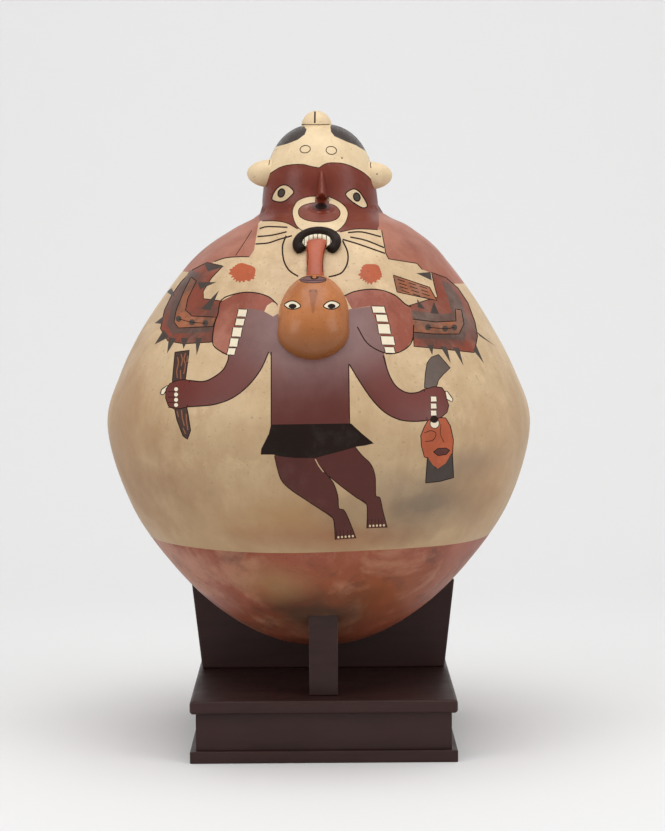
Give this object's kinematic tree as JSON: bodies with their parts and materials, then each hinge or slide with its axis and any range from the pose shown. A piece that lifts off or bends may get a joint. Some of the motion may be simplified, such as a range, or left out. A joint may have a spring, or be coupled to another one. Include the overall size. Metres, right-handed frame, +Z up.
{
  "type": "effigy vessel",
  "caption": "Large painted effigy jar with a modelled head for a neck and a carried head on its chest, held in a dark wooden cradle stand.",
  "frame": {"origin": "centre of the stand's underside", "axes": "+Z up, -Y towards the viewer of the figure, +X to that viewer's right"},
  "size_m": [0.3698, 0.3698, 0.5513],
  "materials": {
    "slip_painted_ceramic": "burnished slip, satin",
    "dark_stained_wood": "satin"
  },
  "bodies": {
    "root": {"effigy_jar": "slip_painted_ceramic", "stand_foot_board": "dark_stained_wood", "stand_riser": "dark_stained_wood", "stand_top_board": "dark_stained_wood", "cradle_panel": "dark_stained_wood", "front_post": "dark_stained_wood"}
  },
  "joints": []
}
